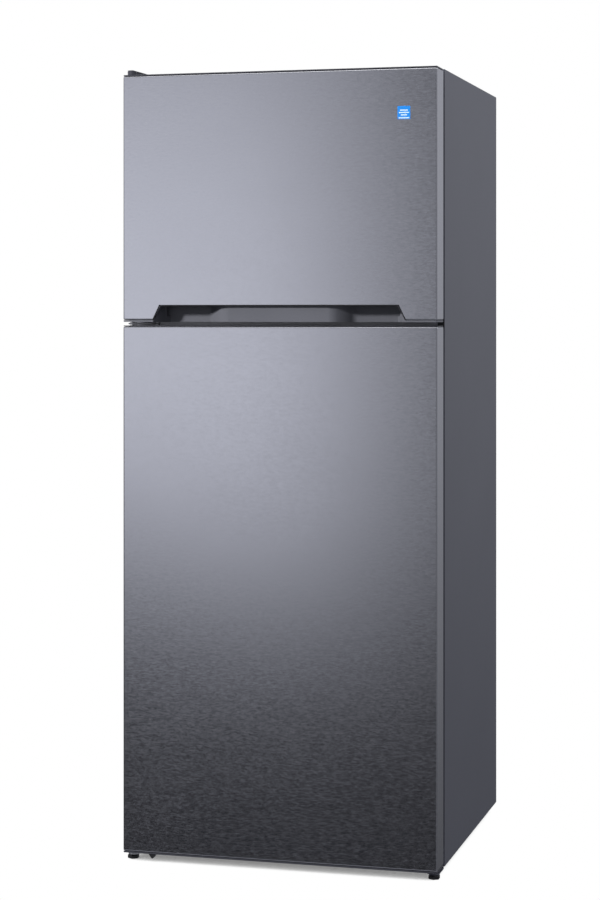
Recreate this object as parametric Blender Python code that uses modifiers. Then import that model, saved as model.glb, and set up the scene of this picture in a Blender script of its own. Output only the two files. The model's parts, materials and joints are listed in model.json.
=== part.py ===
"""Top freezer refrigerator with two doors hinged on the left, as separate pieces.

Metres, +Z up. The doors face -Y, and the origin is on the floor under the middle of the cabinet.
Pieces that move hang on an empty that stands on their axis of motion.
"""

import math

import bmesh
import bpy
from mathutils import Vector

# Outside of the whole appliance.
WIDTH = 0.670
DEPTH = 0.680
HALF = WIDTH / 2
FRONT = -DEPTH / 2
REAR = DEPTH / 2
CABINET_BOTTOM = 0.014
CABINET_TOP = 1.646
GAP = 0.0003
SHEET = 0.001
PLASTIC = 0.002

# Depth planes, front to back.
DOOR_BACK = -0.278
CABINET_FRONT = -0.264
INSULATION_FRONT = CABINET_FRONT + PLASTIC + GAP

# Levels of the two doors.
FRIDGE_SKIN = (0.0210, 1.1185)
FREEZER_SKIN = (1.1320, 1.6415)
FRIDGE_BOTTOM_CAP = (0.0175, FRIDGE_SKIN[0] - GAP)
FRIDGE_TOP_CAP = (FRIDGE_SKIN[1] + GAP, 1.1205)
FREEZER_BOTTOM_CAP = (1.1280, FREEZER_SKIN[0] - GAP)
FREEZER_TOP_CAP = (FREEZER_SKIN[1] + GAP, 1.6445)
SKIN_ROUND = 0.003

# The line that both doors turn about, and its metal.
HINGE_X = -0.3225
HINGE_Y = -0.310
PIN_RADIUS = 0.004
PIN_HOLE = 0.0044
HINGE_PLATE = 0.003
ARM_ROUND = 0.0105

# Front frame of the cabinet.
FRAME_HALF = HALF - 0.012
FRAME_TOP = CABINET_TOP - 0.012
CENTRE_RAIL = (1.0973, 1.1507)
BASE_RAIL = (0.0143, 0.0560)
BASE_RAIL_BACK = -0.214
MID_PLATE = (1.1125, 1.1360)
FLANGE_PLATE = (CABINET_FRONT - GAP - 0.0029, CABINET_FRONT - GAP)

# Compartments: half width, floor, ceiling and rear wall of the space inside each liner.
FREEZER_SPACE = {"half": 0.277, "floor": 1.161, "ceiling": 1.584, "rear": 0.262}
FRIDGE_SPACE = {"half": 0.283, "floor": 0.084, "ceiling": 1.087, "rear": 0.275}
STEP_TOP = 0.264
STEP_FRONT = 0.095
LINER_ROUND = 0.012

# Machine compartment at the lower rear.
MACHINE_WALL = 0.140
MACHINE_DECK = 0.217
PANEL_HALF = HALF - SHEET - GAP
INNER_REAR = 0.3357

# Handle pocket in the lower edge of the freezer door.
POCKET_HALF_LOW = 0.2710
POCKET_HALF_TOP = 0.2557
POCKET_HEIGHT = 0.0315
POCKET_REAR = -0.298
BOSS_HALF = 0.105
BOSS_FACE = -0.331
DEEP_HALF = 0.160
UNDERCUT_X = (0.164, 0.250)
UNDERCUT_TOP = 1.178

# Feet and rollers.
FOOT_RADIUS = 0.0125
FOOT_HEIGHT = 0.008
ROLLER_RADIUS = 0.013
ROLLER_AT = (0.300, 0.300)

# Shelves of the fresh food compartment: underside of each glass.
SHELF_LEVELS = {"upper_shelf": 0.752, "lower_shelf": 0.512, "crisper_cover": 0.272}
GLASS_THICK = 0.004
GLASS_HALF = 0.281
GLASS_Y = (-0.180, 0.250)

FAN_CENTRE = (0.0, 0.178, 1.500)
KNOB_CENTRE = (-0.100, -0.160, 1.0377)
SWITCH_CENTRE = (0.120, -0.215, 1.065)
HOUSING_Z = (1.0450, 1.0867)

PLANE_TURNS = {
    "XY": (0.0, 0.0, 0.0),
    "XZ": (math.pi / 2, 0.0, 0.0),
    "YZ": (math.pi / 2, 0.0, math.pi / 2),
}
AXIS_TURNS = {"Z": (0.0, 0.0, 0.0), "Y": (math.pi / 2, 0.0, 0.0), "X": (0.0, math.pi / 2, 0.0)}


# ---------------------------------------------------------------- scene and materials


def clear_scene():
    for obj in list(bpy.data.objects):
        bpy.data.objects.remove(obj, do_unlink=True)


def new_collection(name):
    collection = bpy.data.collections.new(name)
    bpy.context.scene.collection.children.link(collection)
    return collection


def new_material(name, colour, roughness, metallic=0.0, alpha=1.0):
    material = bpy.data.materials.new(name)
    material.use_nodes = True
    shader = material.node_tree.nodes["Principled BSDF"]
    shader.inputs["Base Color"].default_value = (*colour, 1.0)
    shader.inputs["Roughness"].default_value = roughness
    shader.inputs["Metallic"].default_value = metallic
    shader.inputs["Alpha"].default_value = alpha
    return material


clear_scene()
PARTS = new_collection("top_freezer_refrigerator")
HELPERS = new_collection("cutters_and_joined_pieces")

STEEL_SKIN = new_material("brushed_steel", (0.36, 0.37, 0.40), 0.33, 1.0)
GREY_PAINT = new_material("grey_paint", (0.095, 0.098, 0.115), 0.35)
CAP_PLASTIC = new_material("dark_cap_plastic", (0.030, 0.031, 0.036), 0.38)
POCKET_PLASTIC = new_material("pocket_plastic", (0.115, 0.118, 0.135), 0.42)
RAIL_ENAMEL = new_material("rail_enamel", (0.250, 0.255, 0.285), 0.18)
BLACK_PLASTIC = new_material("black_plastic", (0.012, 0.012, 0.013), 0.45)
BLACK_RUBBER = new_material("black_gasket", (0.018, 0.018, 0.020), 0.60)
LINER_PLASTIC = new_material("white_liner", (0.80, 0.81, 0.82), 0.35)
BIN_PLASTIC = new_material("clear_bin", (0.78, 0.82, 0.84), 0.12, 0.0, 0.45)
SHELF_GLASS = new_material("shelf_glass", (0.72, 0.82, 0.80), 0.05, 0.0, 0.35)
FOAM = new_material("foam", (0.78, 0.68, 0.42), 0.90)
ZINC = new_material("zinc_plated_steel", (0.52, 0.53, 0.54), 0.35, 1.0)
GALVANISED = new_material("galvanised_sheet", (0.42, 0.43, 0.44), 0.45, 1.0)
ALUMINIUM = new_material("aluminium_fins", (0.70, 0.71, 0.72), 0.35, 1.0)
COPPER = new_material("copper_tube", (0.62, 0.30, 0.18), 0.30, 1.0)
COMPRESSOR_BLACK = new_material("compressor_paint", (0.015, 0.015, 0.016), 0.40)
TRIM_PLASTIC = new_material("shelf_trim", (0.62, 0.63, 0.65), 0.30)
LENS_PLASTIC = new_material("lamp_lens", (0.90, 0.90, 0.86), 0.20, 0.0, 0.60)


# ---------------------------------------------------------------- building blocks


def pivot_at(name, location):
    pivot = bpy.data.objects.new(name, None)
    pivot.empty_display_size = 0.05
    pivot.location = location
    PARTS.objects.link(pivot)
    return pivot


def add_object(name, mesh, centre, turn, finish, pivot):
    """Wraps a mesh. With no finish it is a helper: a cutter, or a piece that is joined to another."""
    obj = bpy.data.objects.new(name, mesh)
    if finish is None:
        HELPERS.objects.link(obj)
        obj.hide_render = True
        obj.display_type = "WIRE"
    else:
        PARTS.objects.link(obj)
        mesh.materials.append(finish)
    obj.rotation_euler = turn
    obj.location = centre
    if pivot is not None:
        obj.parent = pivot
        obj.location = Vector(centre) - pivot.location
    return obj


def runs_along(axis):
    """Picks the edges of a block that run along one axis, 0 for X, 1 for Y, 2 for Z."""

    def picked(edge):
        ends = edge.verts
        return abs(ends[0].co[axis] - ends[1].co[axis]) > 1e-6

    return picked


def off_rear(edge):
    """Picks the edges of a block that don't lie in its rear face."""
    return min(vertex.co.y for vertex in edge.verts) < 0


def off_rear_and_bottom(edge):
    """Picks the edges that lie neither in the rear face nor in the bottom face."""
    return off_rear(edge) and max(vertex.co.z for vertex in edge.verts) > 0


def every_edge(edge):
    return True


def round_edges(bm, radius, picked, segments):
    edges = [edge for edge in bm.edges if picked(edge)]
    bmesh.ops.bevel(bm, geom=edges, offset=radius, segments=segments, affect="EDGES", profile=0.5)


def box(name, x, y, z, finish=None, pivot=None, radius=0.0, picked=every_edge, segments=3):
    """A block between three (low, high) pairs, with the picked edges rounded."""
    centre = [(low + high) / 2 for low, high in (x, y, z)]
    size = [high - low for low, high in (x, y, z)]
    bm = bmesh.new()
    bmesh.ops.create_cube(bm, size=1.0)
    bmesh.ops.scale(bm, vec=size, verts=bm.verts)
    if radius:
        round_edges(bm, radius, picked, segments)
    mesh = bpy.data.meshes.new(name)
    bm.to_mesh(mesh)
    bm.free()
    return add_object(name, mesh, centre, (0.0, 0.0, 0.0), finish, pivot)


def cylinder(name, centre, radius, length, axis="Z", finish=None, pivot=None, sides=24):
    """A cylinder about its centre."""
    bm = bmesh.new()
    bmesh.ops.create_cone(bm, cap_ends=True, segments=sides, radius1=radius, radius2=radius, depth=length)
    mesh = bpy.data.meshes.new(name)
    bm.to_mesh(mesh)
    bm.free()
    return add_object(name, mesh, centre, AXIS_TURNS[axis], finish, pivot)


def post(name, at, radius, z, finish=None, pivot=None, sides=24):
    """An upright cylinder between two levels."""
    centre = (at[0], at[1], (z[0] + z[1]) / 2)
    return cylinder(name, centre, radius, z[1] - z[0], "Z", finish, pivot, sides)


def closed_mesh(curve_object, name):
    """The mesh of a curve with its caps welded on. The curve object is removed."""
    graph = bpy.context.evaluated_depsgraph_get()
    mesh = bpy.data.meshes.new_from_object(curve_object.evaluated_get(graph))
    mesh.name = name
    mesh.materials.clear()
    bm = bmesh.new()
    bm.from_mesh(mesh)
    bmesh.ops.remove_doubles(bm, verts=bm.verts, dist=1e-6)
    bm.to_mesh(mesh)
    bm.free()
    bpy.data.objects.remove(curve_object, do_unlink=True)
    return mesh


def prism(name, outlines, low, high, plane, finish=None, pivot=None):
    """Extrudes closed outlines in a plane. Outlines inside the first one are holes."""
    curve = bpy.data.curves.new(name, "CURVE")
    curve.dimensions = "2D"
    curve.fill_mode = "BOTH"
    curve.extrude = (high - low) / 2
    for outline in outlines:
        spline = curve.splines.new("POLY")
        spline.points.add(len(outline) - 1)
        for point, (across, up) in zip(spline.points, outline):
            point.co = (across, up, 0.0, 1.0)
        spline.use_cyclic_u = True
    flat = bpy.data.objects.new(name + "_outline", curve)
    HELPERS.objects.link(flat)
    mesh = closed_mesh(flat, name)
    middle = (low + high) / 2
    centre = {"XY": (0, 0, middle), "XZ": (0, middle, 0), "YZ": (middle, 0, 0)}[plane]
    return add_object(name, mesh, centre, PLANE_TURNS[plane], finish, pivot)


def tube(name, points, radius, finish):
    """A round wire or tube through the points, with closed ends."""
    curve = bpy.data.curves.new(name, "CURVE")
    curve.dimensions = "3D"
    curve.bevel_depth = radius
    curve.bevel_resolution = 2
    curve.use_fill_caps = True
    spline = curve.splines.new("POLY")
    spline.points.add(len(points) - 1)
    for point, place in zip(spline.points, points):
        point.co = (*place, 1.0)
    curve.materials.append(finish)
    obj = bpy.data.objects.new(name, curve)
    PARTS.objects.link(obj)
    return obj


def combine(target, others, operation):
    for other in others:
        modifier = target.modifiers.new(f"{operation.lower()}_{other.name}", "BOOLEAN")
        modifier.operation = operation
        modifier.solver = "EXACT"
        modifier.object = other
    return target


def cut(target, *cutters):
    return combine(target, cutters, "DIFFERENCE")


def join(target, *pieces):
    return combine(target, pieces, "UNION")


def repeat(obj, count, step):
    """Repeats a helper in a row."""
    row = obj.modifiers.new("row", "ARRAY")
    row.use_relative_offset = False
    row.use_constant_offset = True
    row.count = count
    row.constant_offset_displace = step
    return obj


def arc(centre, radius, start, end, steps=6):
    """Points on an arc, with the angles in degrees."""
    points = []
    for step in range(steps + 1):
        angle = math.radians(start + (end - start) * step / steps)
        points.append((centre[0] + radius * math.cos(angle), centre[1] + radius * math.sin(angle)))
    return points


def rounded_rectangle(x, y, radius, steps=3):
    """A rectangle outline between two (low, high) pairs, with round corners."""
    corners = (
        (x[0] + radius, y[0] + radius, 180),
        (x[1] - radius, y[0] + radius, 270),
        (x[1] - radius, y[1] - radius, 0),
        (x[0] + radius, y[1] - radius, 90),
    )
    outline = []
    for across, up, start in corners:
        outline += arc((across, up), radius, start, start + 90, steps)
    return outline


def grow(span, amount):
    return (span[0] - amount, span[1] + amount)


def both_sides(x):
    """A (low, high) pair on the right, and its mirror on the left."""
    return {"right": x, "left": (-x[1], -x[0])}


def mirrored(half):
    return (-half, half)


# ---------------------------------------------------------------- cabinet shell


def outer_wrapper():
    wrapper = box(
        "outer_wrapper",
        mirrored(HALF),
        (CABINET_FRONT, REAR),
        (CABINET_BOTTOM, CABINET_TOP),
        GREY_PAINT,
        radius=0.0015,
        picked=off_rear_and_bottom,
    )
    inside = box(
        "wrapper_inside",
        mirrored(HALF - SHEET),
        (CABINET_FRONT + SHEET, REAR + 0.010),
        (CABINET_BOTTOM - 0.010, CABINET_TOP - SHEET),
    )
    mouth = box(
        "wrapper_mouth",
        mirrored(FRAME_HALF),
        (CABINET_FRONT - 0.010, CABINET_FRONT + 0.005),
        (CABINET_BOTTOM - 0.010, FRAME_TOP),
    )
    return cut(wrapper, inside, mouth)


def back_panel():
    panel = box(
        "back_panel",
        mirrored(PANEL_HALF),
        (0.3360, 0.3370),
        (MACHINE_DECK + 0.005, CABINET_TOP - SHEET - GAP),
        GALVANISED,
    )
    pressings = [
        box(f"back_pressing_{index}", (-0.290, 0.290), (0.3365, 0.3388), z, radius=0.002)
        for index, z in enumerate(((0.290, 0.900), (0.980, 1.590)))
    ]
    return join(panel, *pressings)


def machine_panel():
    step = [
        (BASE_RAIL_BACK + GAP, BASE_RAIL[0]),
        (MACHINE_WALL + SHEET, BASE_RAIL[0]),
        (MACHINE_WALL + SHEET, MACHINE_DECK),
        (INNER_REAR, MACHINE_DECK),
        (INNER_REAR, MACHINE_DECK + SHEET),
        (MACHINE_WALL, MACHINE_DECK + SHEET),
        (MACHINE_WALL, BASE_RAIL[0] + SHEET),
        (BASE_RAIL_BACK + GAP, BASE_RAIL[0] + SHEET),
    ]
    return prism("machine_panel", [step], -PANEL_HALF, PANEL_HALF, "YZ", GALVANISED)


def liner_hollows(prefix, space, wall):
    """Blocks that a liner of this wall fills, for the foam around it: one, or two with the step."""
    y = (CABINET_FRONT - 0.030, space["rear"] + wall)
    x = mirrored(space["half"] + wall)
    z = (space["floor"] - wall, space["ceiling"] + wall)
    if space is FREEZER_SPACE:
        return [box(f"{prefix}_freezer_hollow", x, y, z)]
    upper = box(f"{prefix}_fridge_hollow", x, y, (STEP_TOP - wall, z[1]))
    lower = box(f"{prefix}_crisper_hollow", x, (y[0], STEP_FRONT + wall), (z[0], STEP_TOP))
    return [upper, lower]


def insulation():
    block = box(
        "insulation",
        mirrored(PANEL_HALF),
        (INSULATION_FRONT, INNER_REAR),
        (BASE_RAIL[0] + SHEET + GAP, CABINET_TOP - SHEET - GAP),
        FOAM,
    )
    wall = PLASTIC + GAP
    hollows = liner_hollows("foam", FREEZER_SPACE, wall) + liner_hollows("foam", FRIDGE_SPACE, wall)
    machine = box(
        "foam_machine_hollow", (-0.4, 0.4), (MACHINE_WALL - GAP, 0.4), (-0.1, MACHINE_DECK + SHEET + GAP)
    )
    front = INSULATION_FRONT - 0.010
    base = box("foam_base_hollow", (-0.4, 0.4), (front, BASE_RAIL_BACK + GAP), (-0.1, BASE_RAIL[1] + GAP))
    centre = box(
        "foam_rail_hollow", mirrored(FRAME_HALF), (front, -0.240 + GAP), grow(CENTRE_RAIL, GAP)
    )
    return cut(block, *hollows, machine, base, centre)


def liner_shell(name, space, flange_z):
    """A moulded tub that is open to the front, with a flange round its mouth."""
    mouth = CABINET_FRONT - 0.020
    round_inside = {"radius": LINER_ROUND, "picked": off_front_face}
    x = mirrored(space["half"] + PLASTIC)
    z = (space["floor"] - PLASTIC, space["ceiling"] + PLASTIC)
    y = (CABINET_FRONT + 0.0005, space["rear"] + PLASTIC)
    flange = box(
        name,
        mirrored(FRAME_HALF - GAP),
        (CABINET_FRONT, CABINET_FRONT + PLASTIC),
        flange_z,
        LINER_PLASTIC,
    )
    if space is FREEZER_SPACE:
        outer = [box(f"{name}_outer", x, y, z, **round_inside)]
        inner = [
            box(
                f"{name}_inner",
                mirrored(space["half"]),
                (mouth, space["rear"]),
                (space["floor"], space["ceiling"]),
                **round_inside,
            )
        ]
    else:
        low_y = (y[0], STEP_FRONT + PLASTIC)
        outer = [
            box(f"{name}_outer", x, y, (STEP_TOP - PLASTIC, z[1]), **round_inside),
            box(f"{name}_outer_low", x, low_y, (z[0], STEP_TOP + 0.030), **round_inside),
        ]
        inner = [
            box(
                f"{name}_inner",
                mirrored(space["half"]),
                (mouth, space["rear"]),
                (STEP_TOP, space["ceiling"]),
                **round_inside,
            ),
            box(
                f"{name}_inner_low",
                mirrored(space["half"]),
                (mouth, STEP_FRONT),
                (space["floor"], STEP_TOP + 0.030),
                **round_inside,
            ),
        ]
    join(flange, *outer)
    return cut(flange, *inner)


def off_front_face(edge):
    """Picks the edges of a block that don't lie in its front face."""
    return max(vertex.co.y for vertex in edge.verts) > 0


def shelf_ribs(name, space, low_level, y, count, pitch):
    """Rows of supports on the two side walls."""
    height = 0.006
    ribs = []
    for side, x in both_sides((space["half"] - 0.008, space["half"] + 0.001)).items():
        rib = box(f"{name}_{side}", x, y, (low_level - height, low_level))
        ribs.append(repeat(rib, count, (0.0, 0.0, pitch)))
    return ribs


def freezer_liner():
    liner = liner_shell("freezer_liner", FREEZER_SPACE, (CENTRE_RAIL[1] + 2 * GAP, FRAME_TOP - GAP))
    return join(liner, *shelf_ribs("freezer_rib", FREEZER_SPACE, 1.3702, (-0.160, 0.130), 1, 0.0))


def fridge_liner():
    liner = liner_shell("fridge_liner", FRIDGE_SPACE, (BASE_RAIL[1] + 2 * GAP, CENTRE_RAIL[0] - 2 * GAP))
    low = SHELF_LEVELS["crisper_cover"] - GAP
    ribs = shelf_ribs("fridge_rib", FRIDGE_SPACE, low, (-0.200, 0.200), 8, 0.080)
    return join(liner, *ribs)


def channel_outline(z, back, wall=0.0015):
    """Section of a rail, open to the rear."""
    return [
        (CABINET_FRONT, z[0]),
        (back, z[0]),
        (back, z[0] + wall),
        (CABINET_FRONT + wall, z[0] + wall),
        (CABINET_FRONT + wall, z[1] - wall),
        (back, z[1] - wall),
        (back, z[1]),
        (CABINET_FRONT, z[1]),
    ]


def centre_rail():
    half = FRAME_HALF - GAP
    return prism("centre_rail", [channel_outline(CENTRE_RAIL, -0.240)], -half, half, "YZ", RAIL_ENAMEL)


def hinge_hole_cover():
    """Plugs the hinge holes at the right, which serve when the doors are hung the other way round."""
    return box(
        "hinge_hole_cover",
        (0.3205, HALF - GAP),
        (-0.2668, FLANGE_PLATE[1]),
        MID_PLATE,
        BLACK_PLASTIC,
        radius=0.0008,
        picked=off_rear,
        segments=2,
    )


# ---------------------------------------------------------------- hinges and feet


def arm_outline(side):
    """Plan of a hinge arm: wide on the cabinet, round about the pin. side is -1 on the left."""
    inner = 0.285
    outer = 0.333
    axis = (abs(HINGE_X), HINGE_Y)
    outline = [(outer, FLANGE_PLATE[1]), (inner, FLANGE_PLATE[1]), (inner, -0.284)]
    outline += arc(axis, ARM_ROUND, 215, 360, 8)
    return [(side * across, along) for across, along in outline]


def foot_bracket(name, side, finish):
    """Plate under the door's corner with a flange that stands against the base rail."""
    plate_z = (0.009, 0.009 + HINGE_PLATE)
    x = (0.285, 0.333) if side > 0 else (-0.333, -0.285)
    plate = prism(name, [arm_outline(side)], *plate_z, "XY", finish)
    flange = box(f"{name}_flange", x, FLANGE_PLATE, (plate_z[0], 0.050))
    return join(plate, flange)


def base_rail():
    half = FRAME_HALF - GAP
    rail = prism(
        "base_rail", [channel_outline(BASE_RAIL, BASE_RAIL_BACK)], -half, half, "YZ", GREY_PAINT
    )
    at = (-HINGE_X, HINGE_Y)
    bracket = foot_bracket("foot_bracket_right", 1, None)
    weld = box("bracket_weld", (0.290, 0.318), (FLANGE_PLATE[0] + 0.001, -0.2632), (0.020, 0.046))
    nut = post("bracket_nut", at, 0.008, (0.011, 0.016), sides=6)
    bore = post("bracket_bore", at, 0.0043, (0.0, 0.030))
    join(rail, bracket, weld, nut)
    return cut(rail, bore)


def bottom_hinge():
    """Carries the lower door on a hollow pin, which the left foot screws up into."""
    at = (HINGE_X, HINGE_Y)
    bracket = foot_bracket("bottom_hinge", -1, ZINC)
    pin = post("bottom_pin", at, 0.0065, (0.0105, 0.038), sides=32)
    bore = post("bottom_pin_bore", at, 0.0044, (0.0, 0.050))
    join(bracket, pin)
    return cut(bracket, bore)


def mid_hinge():
    at = (HINGE_X, HINGE_Y)
    arm_z = (1.1227, 1.1227 + HINGE_PLATE)
    arm = prism("mid_hinge", [arm_outline(-1)], *arm_z, "XY", ZINC)
    flange = box("mid_flange", (-0.333, -0.281), FLANGE_PLATE, MID_PLATE)
    pin = post("mid_pin", at, PIN_RADIUS, (1.105, 1.143))
    return join(arm, flange, pin)


def top_hinge():
    at = (HINGE_X, HINGE_Y)
    low = CABINET_TOP + GAP
    outline = [(-0.301, -0.296), (-0.301, -0.200), (-0.3315, -0.200)] + arc(at, 0.009, 180, 330, 8)
    plate = prism("top_hinge", [outline], low, low + HINGE_PLATE, "XY", ZINC)
    pin = post("top_pin", at, PIN_RADIUS, (1.630, low + 0.001))
    return join(plate, pin)


def top_hinge_cover():
    """Glossy cap over the top hinge: flat over the pin, sloping down to the right."""
    low = CABINET_TOP + GAP
    left = -0.3338
    section = [(-0.288, low), (-0.289, low + 0.0012), (-0.319, low + 0.0097)]
    section += [(-0.332, low + 0.0097), (left, low + 0.0082), (left, low)]
    plan = [(-0.288, -0.292), (-0.288, -0.190), (left, -0.190)]
    plan += arc((left + 0.0113, -0.3132), 0.0113, 180, 350, 10)
    cavity = [(-0.2935, low - 0.005), (-0.2935, low + 0.0012), (-0.3195, low + 0.0084)]
    cavity += [(-0.3322, low + 0.0084), (-0.3322, low - 0.005)]
    inner_plan = [(-0.2935, -0.2953), (-0.2935, -0.1915), (-0.3322, -0.1915)]
    inner_plan += arc((left + 0.0113, -0.3132), 0.0098, 180, 350, 10)
    cover = prism("top_hinge_cover", [section], -0.330, -0.185, "XZ", CAP_PLASTIC)
    hollow = prism("hinge_cover_hollow", [cavity], -0.330, -0.185, "XZ")
    for solid, outline in ((cover, plan), (hollow, inner_plan)):
        limits = prism(f"{solid.name}_plan", [outline], low - 0.010, low + 0.020, "XY")
        combine(solid, [limits], "INTERSECT")
    return cut(cover, hollow)


def foot(side, pivot):
    """Hexagonal levelling foot on a threaded stem."""
    name = "foot_right" if side > 0 else "foot_left"
    stem_top = 0.016 if side > 0 else 0.034
    at = (side * abs(HINGE_X), HINGE_Y)
    pad = cylinder(
        name, (*at, FOOT_HEIGHT / 2), FOOT_RADIUS, FOOT_HEIGHT, "Z", BLACK_PLASTIC, pivot, sides=6
    )
    chamfer = pad.modifiers.new("chamfer", "BEVEL")
    chamfer.width = 0.0010
    chamfer.segments = 1
    stem = post(f"{name}_stem", at, PIN_RADIUS, (FOOT_HEIGHT / 2, stem_top), pivot=pivot)
    return join(pad, stem)


# ---------------------------------------------------------------- machine compartment


def rear_cover():
    cover = box("rear_cover", mirrored(0.320), (0.334, 0.3355), (0.022, 0.2150), BLACK_PLASTIC)
    slots = box("rear_slots", (-0.285, -0.165), (0.330, 0.340), (0.060, 0.066))
    upward = repeat(slots, 9, (0.0, 0.0, 0.015))
    across = upward.modifiers.new("columns", "ARRAY")
    across.use_relative_offset = False
    across.use_constant_offset = True
    across.count = 3
    across.constant_offset_displace = (0.150, 0.0, 0.0)
    return cut(cover, upward)


def cord_inlet():
    """Bush that the mains lead enters through, beside the slots of the rear cover."""
    ring = cylinder("cord_inlet", (0.270, 0.33775, 0.060), 0.012, 0.0039, "Y", BLACK_PLASTIC)
    bore = cylinder("cord_inlet_bore", (0.270, 0.33775, 0.060), 0.006, 0.020, "Y")
    return cut(ring, bore)


def compressor():
    """Welded steel shell on a base plate with four feet and a terminal box."""
    at = (-0.120, 0.240)
    profile = [(0.0001, 0.200), (0.040, 0.1955), (0.062, 0.180), (0.071, 0.155), (0.074, 0.126)]
    profile += [(0.077, 0.125), (0.077, 0.119), (0.074, 0.118)]
    profile += [(0.071, 0.080), (0.060, 0.055), (0.0001, 0.045)]
    bm = bmesh.new()
    vertices = [bm.verts.new((radius, 0.0, height)) for radius, height in profile]
    for upper, lower in zip(vertices, vertices[1:]):
        bm.edges.new((upper, lower))
    mesh = bpy.data.meshes.new("compressor")
    bm.to_mesh(mesh)
    bm.free()
    shell = add_object("compressor", mesh, (*at, 0.0), (0.0, 0.0, 0.0), COMPRESSOR_BLACK, None)
    turning = shell.modifiers.new("turning", "SCREW")
    turning.steps = 24
    turning.render_steps = 24
    turning.use_merge_vertices = True
    turning.merge_threshold = 0.0001
    weld = shell.modifiers.new("weld", "WELD")
    weld.merge_threshold = 0.0003
    x = (at[0] - 0.085, at[0] + 0.085)
    y = (at[1] - 0.060, at[1] + 0.060)
    plate = box("compressor_plate", x, y, (0.044, 0.047), radius=0.012, picked=runs_along(2))
    terminals_x = (at[0] + 0.060, at[0] + 0.098)
    terminals_y = (at[1] - 0.030, at[1] + 0.030)
    terminals = box("terminal_box", terminals_x, terminals_y, (0.085, 0.145), radius=0.004)
    feet = [
        post(f"compressor_foot_{index}", (at[0] + 0.070 * a, at[1] + 0.045 * b), 0.010, (0.0321, 0.045))
        for index, (a, b) in enumerate(((-1, -1), (-1, 1), (1, -1), (1, 1)))
    ]
    return join(shell, plate, terminals, *feet)


def compressor_rail():
    """Cross plate that carries the compressor, with a turned-up flange at the rear."""
    section = [(0.145, 0.0298), (0.331, 0.0298), (0.331, 0.0450), (0.329, 0.0450)]
    section += [(0.329, 0.0318), (0.147, 0.0318), (0.147, 0.0450), (0.145, 0.0450)]
    return prism("compressor_rail", [section], -0.3330, 0.3330, "YZ", GALVANISED)


def discharge_tube():
    """Copper tube that loops from the compressor side towards the condenser."""
    points = []
    for step in range(25):
        share = step / 24
        swing = 0.045 * math.sin(share * math.pi * 2)
        rise = 0.040 * math.cos(share * math.pi * 3)
        points.append((0.010 + 0.230 * share, 0.235 + swing, 0.115 + rise))
    return tube("discharge_tube", points, 0.0032, COPPER)


def drip_tray():
    """Shallow pan over the compressor, which warms the melt water away."""
    x = (-0.210, 0.060)
    y = (0.150, 0.325)
    tray = box("drip_tray", x, y, (0.2035, 0.2155), BLACK_PLASTIC, radius=0.010, picked=runs_along(2))
    hollow = (grow(x, -PLASTIC), grow(y, -PLASTIC), (0.2055, 0.230))
    inside = box("tray_inside", *hollow, radius=0.008, picked=runs_along(2))
    return cut(tray, inside)


def roller_bracket(side):
    """Fork with an axle for one rear roller, fixed under the compressor rail."""
    name = "roller_bracket_right" if side > 0 else "roller_bracket_left"
    centre = side * ROLLER_AT[0]
    y = (ROLLER_AT[1] - 0.014, ROLLER_AT[1] + 0.014)
    top_z = (0.0275, 0.0295)
    plate = box(name, (centre - 0.014, centre + 0.014), y, top_z, ZINC)
    ears = [
        box(f"{name}_ear_{index}", (centre + low, centre + high), grow(y, -0.005), (0.0085, 0.0285))
        for index, (low, high) in enumerate(((-0.014, -0.012), (0.012, 0.014)))
    ]
    axle = cylinder(f"{name}_axle", (centre, ROLLER_AT[1], ROLLER_RADIUS), 0.003, 0.027, "X", sides=16)
    return join(plate, *ears, axle)


def roller(side, pivot):
    name = "rear_roller_right" if side > 0 else "rear_roller_left"
    centre = (side * ROLLER_AT[0], ROLLER_AT[1], ROLLER_RADIUS)
    wheel = cylinder(name, centre, ROLLER_RADIUS, 0.018, "X", BLACK_PLASTIC, pivot, sides=32)
    bore = cylinder(f"{name}_bore", centre, 0.0033, 0.030, "X", pivot=pivot, sides=16)
    return cut(wheel, bore)


# ---------------------------------------------------------------- freezer compartment


def evaporator():
    """Finned block behind the cover."""
    block = box("evaporator", mirrored(0.220), (0.175, 0.245), (1.177, 1.407), ALUMINIUM)
    slot = box("fin_slot", (-0.214, -0.203), (0.165, 0.2400), (1.170, 1.415))
    return cut(block, repeat(slot, 27, (0.0160, 0.0, 0.0)))


def evaporator_cover():
    """Panel in front of the evaporator, with a grille for the fan and return slots below."""
    outline = rounded_rectangle(
        mirrored(FREEZER_SPACE["half"] - 0.0006),
        (FREEZER_SPACE["floor"] + 0.0006, FREEZER_SPACE["ceiling"] - 0.0006),
        LINER_ROUND + 0.001,
    )
    cover = prism("evaporator_cover", [outline], 0.158, 0.161, "XZ", LINER_PLASTIC)
    grille = box("fan_grille", (-0.045, 0.045), (0.150, 0.170), (1.462, 1.468))
    returns = box("return_slots", (-0.220, -0.208), (0.150, 0.170), (1.180, 1.215))
    return cut(cover, repeat(grille, 7, (0.0, 0.0, 0.012)), repeat(returns, 19, (0.024, 0.0, 0.0)))


def fan_motor():
    centre = Vector(FAN_CENTRE)
    body = cylinder("fan_motor", centre + Vector((0, 0.034, 0)), 0.022, 0.036, "Y", GALVANISED)
    shaft = cylinder("fan_shaft", centre + Vector((0, 0.006, 0)), 0.0025, 0.024, "Y", sides=16)
    bracket = box("fan_bracket", (-0.070, 0.070), (0.2255, 0.2275), (1.490, 1.510))
    legs = [
        box(f"fan_leg_{side}", x, (0.2265, 0.2612), (1.490, 1.510))
        for side, x in both_sides((0.062, 0.070)).items()
    ]
    return join(body, shaft, bracket, *legs)


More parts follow.
